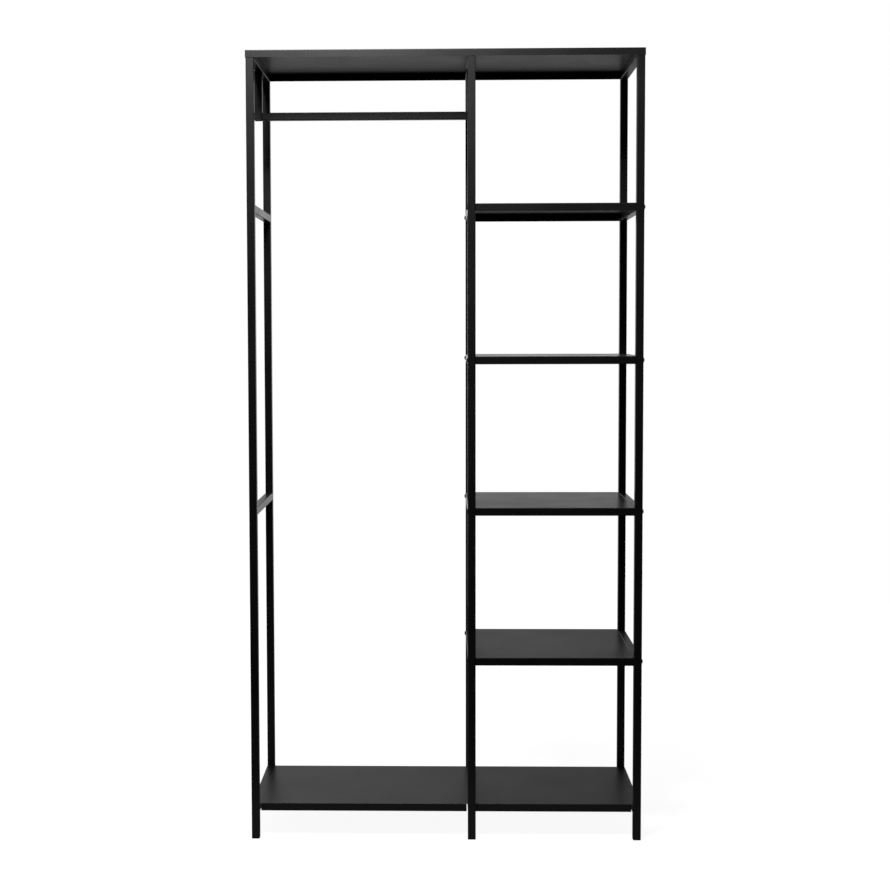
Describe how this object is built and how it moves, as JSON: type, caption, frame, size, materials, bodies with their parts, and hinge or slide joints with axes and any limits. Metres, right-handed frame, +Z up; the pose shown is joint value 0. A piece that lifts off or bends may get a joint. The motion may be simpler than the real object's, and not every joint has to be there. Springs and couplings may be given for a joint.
{
  "type": "clothes rack with shelves",
  "caption": "Open black steel clothes rack: square-tube frames with a flat lid, a hanging rail on one side, bolted shelves on the other and a bottom panel.",
  "frame": {"origin": "on the floor, under the middle of the three frames", "axes": "+X to the right as seen from the front, +Y to the rear, +Z up"},
  "size_m": [1.0014, 0.4, 2],
  "materials": {
    "black_powder_coat": "satin powder coat with a fine orange peel",
    "black_bolts": "black oxide steel",
    "black_plastic": "finely grained moulded plastic"
  },
  "bodies": {
    "root": {"bottom_panel": "black_powder_coat", "clothes_rail": "black_powder_coat", "left_bottom_rail": "black_powder_coat", "left_front_foot": "black_plastic", "left_front_post": "black_powder_coat", "left_middle_rail": "black_powder_coat", "left_panel_bolts": "black_bolts", "left_panel_nuts": "black_powder_coat", "left_rail_bolt": "black_bolts", "left_rail_drop": "black_powder_coat", "left_rail_plug": "black_plastic", "left_rear_foot": "black_plastic", "left_rear_post": "black_powder_coat", "left_top_rail": "black_powder_coat", "left_upper_rail": "black_powder_coat", "middle_bottom_rail": "black_powder_coat", "middle_front_foot": "black_plastic", "middle_front_post": "black_powder_coat", "middle_panel_bolts": "black_bolts", "middle_panel_nuts": "black_powder_coat", "middle_rail_bolt": "black_bolts", "middle_rail_drop": "black_powder_coat", "middle_rail_plug": "black_plastic", "middle_rear_foot": "black_plastic", "middle_rear_post": "black_powder_coat", "middle_shelf_bolts": "black_bolts", "middle_shelf_nuts": "black_powder_coat", "middle_shelf_rail_1": "black_powder_coat", "middle_shelf_rail_2": "black_powder_coat", "middle_shelf_rail_3": "black_powder_coat", "middle_shelf_rail_4": "black_powder_coat", "middle_top_rail": "black_powder_coat", "right_bottom_rail": "black_powder_coat", "right_front_foot": "black_plastic", "right_front_post": "black_powder_coat", "right_panel_bolts": "black_bolts", "right_panel_nuts": "black_powder_coat", "right_rear_foot": "black_plastic", "right_rear_post": "black_powder_coat", "right_shelf_bolts": "black_bolts", "right_shelf_nuts": "black_powder_coat", "right_shelf_rail_1": "black_powder_coat", "right_shelf_rail_2": "black_powder_coat", "right_shelf_rail_3": "black_powder_coat", "right_shelf_rail_4": "black_powder_coat", "right_top_rail": "black_powder_coat", "shelf_1": "black_powder_coat", "shelf_2": "black_powder_coat", "shelf_3": "black_powder_coat", "shelf_4": "black_powder_coat", "top_panel": "black_powder_coat"}
  },
  "joints": []
}
